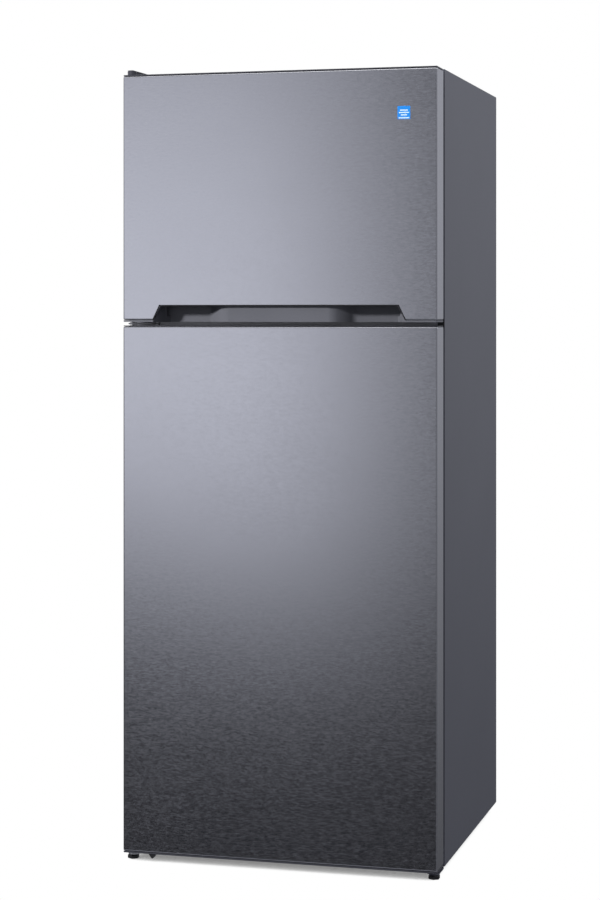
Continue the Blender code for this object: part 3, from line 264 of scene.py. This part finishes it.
# Edge widths of the nodes whose edges show more than the others'.
EDGE_WIDTHS = {
    "freezer_door_skin": 0.0003,
    "fridge_door_skin": 0.0003,
    "freezer_door_handle_cap": 0.0006,
    "freezer_door_top_cap": 0.0006,
    "fridge_door_top_cap": 0.0005,
    "fridge_door_bottom_cap": 0.0006,
    "top_hinge_cover": 0.0006,
    "crisper_drawer": 0.0008,
    "freezer_liner": 0.0010,
    "fridge_liner": 0.0010,
    "freezer_door_liner": 0.0008,
    "fridge_door_liner": 0.0008,
}
PLAIN_EDGES = (
    "discharge_tube",
    "machine_panel",
    "insulation",
    "freezer_door_foam",
    "fridge_door_foam",
    "evaporator",
)


def finish_node(node, material):
    """Gives a CAD node its material, welds its triangles and softens its edges with modifiers only."""
    mesh = node.data
    mesh.materials.clear()
    mesh.materials.append(material)
    if mesh.has_custom_normals:
        mesh.attributes.remove(mesh.attributes["custom_normal"])
    mesh.polygons.foreach_set("use_smooth", [True] * len(mesh.polygons))
    weld = node.modifiers.new("weld", "WELD")
    weld.merge_threshold = WELD_DISTANCE
    if node.name not in PLAIN_EDGES:
        flat = node.modifiers.new("flat", "DECIMATE")
        flat.decimate_type = "DISSOLVE"
        flat.angle_limit = FLAT_ANGLE
        edge = node.modifiers.new("edge", "BEVEL")
        edge.width = EDGE_WIDTHS.get(node.name, EDGE_WIDTH)
        edge.segments = 2
        edge.limit_method = "ANGLE"
        edge.angle_limit = EDGE_ANGLE
        edge.use_clamp_overlap = True
    split = node.modifiers.new("split", "EDGE_SPLIT")
    split.split_angle = EDGE_ANGLE
    split.use_edge_sharp = False
    level = node.modifiers.new("level", "WEIGHTED_NORMAL")
    level.mode = "FACE_AREA"
    level.weight = FACE_WEIGHT


def finish_nodes():
    for entry in frame["record"]["subparts"]:
        finish_node(NODES[entry["node"]], FINISHES[entry["material_slot"]])


# ---------------------------------------------------------------- pieces


SMOOTH_ANGLE = math.radians(35)


def new_piece(name, bm, material, body):
    """Turns a bmesh into a named piece with one material, which rides on a body."""
    mesh = bpy.data.meshes.new(name)
    bm.to_mesh(mesh)
    bm.free()
    piece = bpy.data.objects.new(name, mesh)
    bpy.context.scene.collection.objects.link(piece)
    mesh.materials.append(material)
    mesh.shade_smooth()
    mesh.set_sharp_from_angle(angle=SMOOTH_ANGLE)
    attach(piece, body)
    return piece


def add_block(bm, low, high, radius=0.0, segments=2):
    """Adds a block with round edges to a mesh."""
    made = bmesh.ops.create_cube(bm, size=1.0)["verts"]
    size = Vector(high) - Vector(low)
    bmesh.ops.scale(bm, vec=size, verts=made)
    bmesh.ops.translate(bm, vec=(Vector(low) + Vector(high)) / 2, verts=made)
    if radius:
        edges = list({edge for vertex in made for edge in vertex.link_edges})
        bmesh.ops.bevel(bm, geom=edges, offset=radius, segments=segments, affect="EDGES", profile=0.5)


def join_loops(bm, loops):
    """Joins each loop of vertices to the next with a band of quads."""
    for loop, other in zip(loops, loops[1:]):
        count = len(loop)
        for index in range(count):
            after = (index + 1) % count
            bm.faces.new((loop[index], loop[after], other[after], other[index]))


SCREW_RADIUS = 0.0035
SCREW_HEIGHT = 0.0016
RECESS_DEPTH = 0.0004


def add_screw(bm, place, normal):
    """Adds a domed screw head with a cross recess."""
    rings, sides = 5, 20
    turn = Vector((0, 0, 1)).rotation_difference(Vector(normal)).to_matrix().to_4x4()
    matrix = Matrix.Translation(place) @ turn
    loops = []
    for ring in range(rings + 1):
        share = ring / rings
        level = SCREW_HEIGHT * math.sin(share * math.pi / 2)
        reach = SCREW_RADIUS * max(0.08, math.cos(share * math.pi / 2) ** 0.6)
        loop = []
        for side in range(sides):
            angle = 2 * math.pi * side / sides
            in_cross = abs(math.cos(2 * angle)) > 0.75 and 1 < ring < rings
            z = level - (RECESS_DEPTH if in_cross else 0.0)
            loop.append(bm.verts.new(matrix @ Vector((reach * math.cos(angle), reach * math.sin(angle), z))))
        loops.append(loop)
    join_loops(bm, loops)
    bm.faces.new(loops[-1])
    bm.faces.new(list(reversed(loops[0])))


def screws(name, places, normal):
    """Makes one piece of plated screw heads on the cabinet."""
    bm = bmesh.new()
    for place in places:
        add_screw(bm, Vector(place), normal)
    new_piece(name, bm, FINISHES["zinc_plated_steel"], "cabinet")


LABEL_SIZE = 0.0265
LABEL_INSET = (0.0555, 0.0765)
# Height and length of the label's bars, as shares of its size.
LABEL_BARS = ((0.32, 0.62), (0.50, 0.80), (0.68, 0.50), (0.90, 0.84))


def door_label():
    """Small blue square at the upper right of the freezer door, with pale bars and no wording."""
    low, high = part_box("freezer_door_skin")
    right = high.x - LABEL_INSET[0]
    top = high.z - LABEL_INSET[1]
    front = low.y - 0.00015
    blue = moulded("label_blue", (0.012, 0.220, 0.700), (0.016, 0.250, 0.760), 0.30, 3000.0, 0.05)
    pale = moulded("label_bars", (0.60, 0.76, 0.92), (0.66, 0.82, 0.96), 0.35, 3000.0, 0.05)
    bm = bmesh.new()
    corner = (right - LABEL_SIZE, front, top - LABEL_SIZE)
    add_block(bm, corner, (right, front + 0.00012, top), 0.00005, 1)
    new_piece("door_label", bm, blue, "freezer_door")
    bm = bmesh.new()
    middle = right - LABEL_SIZE / 2
    for level, share in LABEL_BARS:
        half = LABEL_SIZE * share / 2
        z = top - LABEL_SIZE * level
        corner = (middle - half, front - 0.00006, z - 0.0011)
        add_block(bm, corner, (middle + half, front + 0.00004, z + 0.0011))
    new_piece("door_label_bars", bm, pale, "freezer_door")


# Section of a door seal: metres inward from its outer edge, and the share of its depth from the cabinet's
# side, where the magnet bead is, to the foot in the door's groove.
SEAL_PROFILE = (
    (0.002, 0.0), (0.014, 0.0), (0.0135, 0.12), (0.0110, 0.22), (0.0112, 0.34), (0.0148, 0.46),
    (0.0160, 0.60), (0.0158, 0.86), (0.0146, 1.0), (0.0016, 1.0), (0.0003, 0.88), (0.0, 0.62),
    (0.0012, 0.48), (0.0050, 0.36), (0.0052, 0.22), (0.0024, 0.12),
)
SEAL_CORNER = 0.005
CORNER_STEPS = 5


def seal(name, node, body):
    """Door seal: a bellows swept around the door in place of the plain ring."""
    low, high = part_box(node)
    depth = high.y - low.y
    corners = (
        (high.x - SEAL_CORNER, high.z - SEAL_CORNER, 0),
        (low.x + SEAL_CORNER, high.z - SEAL_CORNER, 90),
        (low.x + SEAL_CORNER, low.z + SEAL_CORNER, 180),
        (high.x - SEAL_CORNER, low.z + SEAL_CORNER, 270),
    )
    bm = bmesh.new()
    loops = []
    for centre_x, centre_z, start in corners:
        for step in range(CORNER_STEPS + 1):
            angle = math.radians(start + 90 * step / CORNER_STEPS)
            loop = []
            for inward, share in SEAL_PROFILE:
                reach = SEAL_CORNER - inward
                x = centre_x + reach * math.cos(angle)
                z = centre_z + reach * math.sin(angle)
                loop.append(bm.verts.new((x, low.y + depth * share, z)))
            loops.append(loop)
    join_loops(bm, loops + loops[:1])
    bmesh.ops.recalc_face_normals(bm, faces=bm.faces)
    piece = new_piece(name, bm, FINISHES["black_gasket"], body)
    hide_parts(node)


def strip(bm, points, width, thickness):
    """Adds a flat band along points on the door's front; seen from there, it lies to the right of its way."""
    for first, second in zip(points, points[1:]):
        along = (Vector(second) - Vector(first)).normalized()
        inward = Vector((along.z, 0.0, -along.x)) * width
        back = Vector((0.0, thickness, 0.0))
        start = Vector(first) - along * width * 0.5
        end = Vector(second) + along * width * 0.5
        corners = [start, end, end + inward, start + inward]
        front = [bm.verts.new(corner) for corner in corners]
        rear = [bm.verts.new(corner + back) for corner in corners]
        bm.faces.new(front)
        bm.faces.new(list(reversed(rear)))
        for index in range(4):
            after = (index + 1) % 4
            bm.faces.new((front[after], front[index], rear[index], rear[after]))
    bmesh.ops.recalc_face_normals(bm, faces=bm.faces)


# The pocket's mouth in the door's front: half its width at the foot and at the top, and its height.
MOUTH_FOOT = 0.2705
MOUTH_TOP = 0.2555
MOUTH_HEIGHT = 0.0310


def pocket_trim():
    """Dark lip of the handle pocket, just inside the cut edge of the skin."""
    y = DOOR_FRONT + 0.0004
    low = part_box("freezer_door_skin")[0].z
    foot = low + 0.0002
    top = low + MOUTH_HEIGHT
    points = [(-MOUTH_FOOT, y, foot), (-MOUTH_TOP, y, top), (MOUTH_TOP, y, top), (MOUTH_FOOT, y, foot)]
    bm = bmesh.new()
    strip(bm, points, 0.0021, 0.0030)
    new_piece("pocket_lip", bm, FINISHES["black_plastic"], "freezer_door")


def add_ring(bm, centre, inner, outer, height):
    """Adds a flat washer, its hole upright, to a mesh."""
    sides = 32
    loops = []
    for radius, level in ((inner, 0.0), (outer, 0.0), (outer, height), (inner, height)):
        loop = []
        for side in range(sides):
            angle = 2 * math.pi * side / sides
            offset = Vector((radius * math.cos(angle), radius * math.sin(angle), level))
            loop.append(bm.verts.new(Vector(centre) + offset))
        loops.append(loop)
    join_loops(bm, loops + loops[:1])
    bmesh.ops.recalc_face_normals(bm, faces=bm.faces)


HINGE_AXIS = (-0.3225, -0.310)
HINGE_HOLE = 0.0043
WASHER_REACH = 0.0080
# Front of the flanges that the hinges are screwed on by.
FLANGE_FRONT = CABINET_FRONT - 0.0032
BOTTOM_SCREWS_LEVEL = 0.038
BACK_PANEL_FACE = 0.3370


def hinge_washers(level):
    """Bright washers about the middle hinge's pin, above and below its arm."""
    arm_foot = level - 0.0015
    bm = bmesh.new()
    add_ring(bm, (*HINGE_AXIS, arm_foot + 0.0034), HINGE_HOLE, WASHER_REACH, 0.0012)
    add_ring(bm, (*HINGE_AXIS, arm_foot - 0.0014), HINGE_HOLE, WASHER_REACH, 0.0010)
    new_piece("mid_hinge_washers", bm, FINISHES["zinc_plated_steel"], "cabinet")


def hinge_hardware():
    """Screws of the hinges and the foot bracket, on the metal that they clamp, and the washers."""
    low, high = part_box("mid_hinge")
    middle = (low.z + high.z) / 2
    for name, columns, level in (
        ("mid_hinge_screws", (-0.305, -0.291), middle + 0.0065),
        ("bottom_hinge_screws", (-0.322, -0.297), BOTTOM_SCREWS_LEVEL),
        ("foot_bracket_screws", (0.297, 0.322), BOTTOM_SCREWS_LEVEL),
    ):
        screws(name, [(x, FLANGE_FRONT, level) for x in columns], (0, -1, 0))
    hinge_washers(middle)


def back_screws():
    """Sheet metal screws that hold the back panel and the rear cover."""
    low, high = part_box("back_panel")
    places = []
    for side in (-1, 1):
        for step in range(8):
            z = low.z + 0.020 + (high.z - low.z - 0.040) * step / 7
            places.append((side * (high.x - 0.012), BACK_PANEL_FACE, z))
    for step in range(1, 5):
        places.append((high.x * (-1 + 2 * step / 5), BACK_PANEL_FACE, high.z - 0.012))
    screws("back_panel_screws", places, (0, 1, 0))
    low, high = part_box("rear_cover")
    columns = (low.x + 0.012, 0.0, high.x - 0.012)
    places = [(x, high.y, z) for x in columns for z in (low.z + 0.010, high.z - 0.008)]
    screws("rear_cover_screws", places, (0, 1, 0))


def door_details():
    """The label, the pocket's lip and both seals."""
    door_label()
    pocket_trim()
    seal("freezer_door_seal", "freezer_door_gasket", "freezer_door")
    seal("fridge_door_seal", "fridge_door_gasket", "fridge_door")


# ---------------------------------------------------------------- studio

WHITE = (1.0, 1.0, 1.0, 1.0)
BLACK = (0.0, 0.0, 0.0, 1.0)


def area_light(name, place, aim, size, power, colour=(1.0, 1.0, 1.0)):
    """Adds a flat lamp that shines from a place towards an aim, out of the camera's sight."""
    light = bpy.data.lights.new(name, "AREA")
    light.shape = "RECTANGLE"
    light.size, light.size_y = size
    light.energy = power
    light.color = colour
    lamp = bpy.data.objects.new(name, light)
    bpy.context.scene.collection.objects.link(lamp)
    lamp.location = place
    lamp.rotation_euler = (Vector(aim) - Vector(place)).to_track_quat("-Z", "Y").to_euler()
    lamp.visible_camera = False
    return lamp


# Degrees: rise is the elevation, turn is measured from straight ahead of the doors, positive to the right.
# Each pair is where an edge of the glow starts and ends.
PANEL = {
    "glow": 1.05,
    "low": (-11.2, -3.6),
    "tilt": 0.25,
    "tilt_turn": -15.0,
    "top": (-1.0, 13.0),
    "top_share": 0.38,
    "left": (-75.0, -45.0),
    "right": (-16.6, -10.4),
    "right_share": 0.08,
    "end": (5.0, 60.0),
}
# The room's glow low down, at the walls and overhead, and how it changes from behind to ahead.
ROOM = {
    "low": (-19.0, 7.0),
    "floor": 0.06,
    "wall": 0.34,
    "high": (15.0, 80.0),
    "ceiling": 0.35,
    "depth": (-0.9, 0.9),
    "ahead": 0.20,
    "behind": 1.30,
    "tint": (0.93, 0.95, 1.05, 1.0),
}
# A soft wall at the right, which the side of the cabinet mirrors.
RIGHT_WALL = {
    "glow": 0.28,
    "near": (-6.0, 30.0),
    "far": (90.0, 130.0),
    "rise": (-25.0, 25.0),
    "foot_share": 0.25,
}
# The paper on the floor in front, which the foot of the doors mirrors.
PAPER = {"glow": 0.25, "rise": (-26.0, -17.0)}


def studio_world():
    """White to the camera; to the object, a soft room with one large glowing panel at the left front."""
    world = bpy.data.worlds.new("studio")
    bpy.context.scene.world = world
    world.use_nodes = True
    tree = world.node_tree
    tree.nodes.clear()
    direction = tree.nodes.new("ShaderNodeTexCoord")
    parts = tree.nodes.new("ShaderNodeSeparateXYZ")
    tree.links.new(direction.outputs["Generated"], parts.inputs["Vector"])

    def put(value, socket):
        if isinstance(value, (int, float)):
            socket.default_value = value
        else:
            tree.links.new(value, socket)

    def calc(operation, first, second=0.0):
        node = tree.nodes.new("ShaderNodeMath")
        node.operation = operation
        put(first, node.inputs[0])
        put(second, node.inputs[1])
        return node.outputs["Value"]

    def fade(source, span, low, high):
        """Passes smoothly from low to high while the source goes through the span."""
        node = tree.nodes.new("ShaderNodeMapRange")
        node.interpolation_type = "SMOOTHSTEP"
        put(source, node.inputs["Value"])
        for name, value in (("From Min", span[0]), ("From Max", span[1]), ("To Min", low), ("To Max", high)):
            node.inputs[name].default_value = value
        return node.outputs["Result"]

    across, along, upward = parts.outputs["X"], parts.outputs["Y"], parts.outputs["Z"]
    ahead = calc("MULTIPLY", along, -1.0)
    turn = calc("MULTIPLY", calc("ARCTAN2", across, ahead), 180 / math.pi)
    rise = calc("MULTIPLY", calc("ARCSINE", upward), 180 / math.pi)

    tilted = calc("MULTIPLY", calc("ADD", turn, -PANEL["tilt_turn"]), PANEL["tilt"])
    panel = fade(calc("ADD", rise, tilted), PANEL["low"], 0.0, PANEL["glow"])
    for source, edge, low, high in (
        (rise, "top", 1.0, PANEL["top_share"]),
        (turn, "right", 1.0, PANEL["right_share"]),
        (turn, "left", 0.0, 1.0),
        (turn, "end", 1.0, 0.0),
    ):
        panel = calc("MULTIPLY", panel, fade(source, PANEL[edge], low, high))

    room = fade(rise, ROOM["low"], ROOM["floor"], ROOM["wall"])
    room = calc("ADD", room, fade(rise, ROOM["high"], 0.0, ROOM["ceiling"]))
    room = calc("MULTIPLY", room, fade(ahead, ROOM["depth"], ROOM["behind"], ROOM["ahead"]))
    side = fade(turn, RIGHT_WALL["near"], 0.0, RIGHT_WALL["glow"])
    side = calc("MULTIPLY", side, fade(turn, RIGHT_WALL["far"], 1.0, 0.0))
    side = calc("MULTIPLY", side, fade(rise, RIGHT_WALL["rise"], RIGHT_WALL["foot_share"], 1.0))
    paper = fade(rise, PAPER["rise"], PAPER["glow"], 0.0)
    total = calc("ADD", calc("ADD", panel, room), calc("ADD", side, paper))

    light = tree.nodes.new("ShaderNodeBackground")
    light.inputs["Color"].default_value = ROOM["tint"]
    tree.links.new(total, light.inputs["Strength"])
    white = tree.nodes.new("ShaderNodeBackground")
    white.inputs["Color"].default_value = WHITE
    path = tree.nodes.new("ShaderNodeLightPath")
    pick = tree.nodes.new("ShaderNodeMixShader")
    output = tree.nodes.new("ShaderNodeOutputWorld")
    tree.links.new(path.outputs["Is Camera Ray"], pick.inputs["Fac"])
    tree.links.new(light.outputs["Background"], pick.inputs[1])
    tree.links.new(white.outputs["Background"], pick.inputs[2])
    tree.links.new(pick.outputs["Shader"], output.inputs["Surface"])


# Painted contact shadow on the floor: how far from the object the paper darkens, which share of open sky
# gives its darkest and its white, and how bright its darkest is.
SHADOW_REACH = 0.30
SHADOW_SPAN = (-0.06, 0.30)
SHADOW_DEPTH = 0.12


def studio_floor():
    """White paper that glows evenly, with a painted shadow that darkens its glow where the object hangs close
    over it.
    """
    bm = bmesh.new()
    bmesh.ops.create_grid(bm, x_segments=1, y_segments=1, size=12.0)
    mesh = bpy.data.meshes.new("floor")
    bm.to_mesh(mesh)
    bm.free()
    floor = bpy.data.objects.new("floor", mesh)
    bpy.context.scene.collection.objects.link(floor)
    g = Graph("floor_paper_painted_shadow")
    # Painted shadow: the glow is dimmed by how much of the sky the object hides close by, not by any lamp.
    near = g.tree.nodes.new("ShaderNodeAmbientOcclusion")
    near.samples = 12
    near.inputs["Distance"].default_value = SHADOW_REACH
    shade = g.tree.nodes.new("ShaderNodeMapRange")
    shade.interpolation_type = "SMOOTHSTEP"
    for name, value in (
        ("From Min", SHADOW_SPAN[0]),
        ("From Max", SHADOW_SPAN[1]),
        ("To Min", SHADOW_DEPTH),
        ("To Max", 1.0),
    ):
        shade.inputs[name].default_value = value
    g.link(near.outputs["AO"], shade.inputs["Value"])
    g.link(shade.outputs["Result"], g.shader.inputs["Emission Strength"])
    g.set(Base_Color=BLACK, Roughness=1.0, Specular_IOR_Level=0.0, Emission_Color=WHITE)
    mesh.materials.append(g.material)
    floor.visible_glossy = False
    floor.visible_diffuse = False
    floor.visible_transmission = False
    floor.visible_shadow = False


def studio_lights():
    """One hard key light at the left front and three soft fills; the doors don't mirror the key."""
    doors = (0.0, DOOR_FRONT, 1.10)
    key = area_light("key", (-3.5, -3.64, 2.70), doors, (0.5, 0.5), 360.0, (1.0, 0.99, 0.98))
    key.visible_glossy = False
    area_light("top", (-0.3, -0.4, 4.2), (0.0, 0.0, 0.0), (3.0, 3.0), 60.0)
    area_light("right", (3.2, 0.4, 3.0), (0.3, 0.0, 1.3), (1.2, 1.2), 30.0, (0.97, 0.98, 1.0))
    area_light("back", (-1.5, 4.5, 2.6), (0.0, 0.3, 0.9), (2.5, 2.5), 60.0)


EYE_PLACE = (1.2086, -4.6091, 1.1480)
EYE_TURN = math.radians(15.20)
EYE_LENS = 86.45
EYE_SHIFT = -0.153


def studio_camera():
    """The eye stands level at the right, at chest height; the picture is shifted down to frame the object."""
    camera = bpy.data.cameras.new("camera")
    camera.sensor_fit = "AUTO"
    camera.sensor_width = 36.0
    camera.lens = EYE_LENS
    camera.shift_y = EYE_SHIFT
    camera.clip_end = 100.0
    eye = bpy.data.objects.new("camera", camera)
    bpy.context.scene.collection.objects.link(eye)
    eye.location = EYE_PLACE
    eye.rotation_euler = (math.radians(90.0), 0.0, EYE_TURN)
    bpy.context.scene.camera = eye


def plain_colours():
    """Shows colours as they are, so that white paper stays white."""
    bpy.context.scene.view_settings.view_transform = "Standard"
    bpy.context.scene.view_settings.look = "None"


finish_nodes()
door_details()
hinge_hardware()
back_screws()
studio_world()
studio_floor()
studio_lights()
studio_camera()
plain_colours()
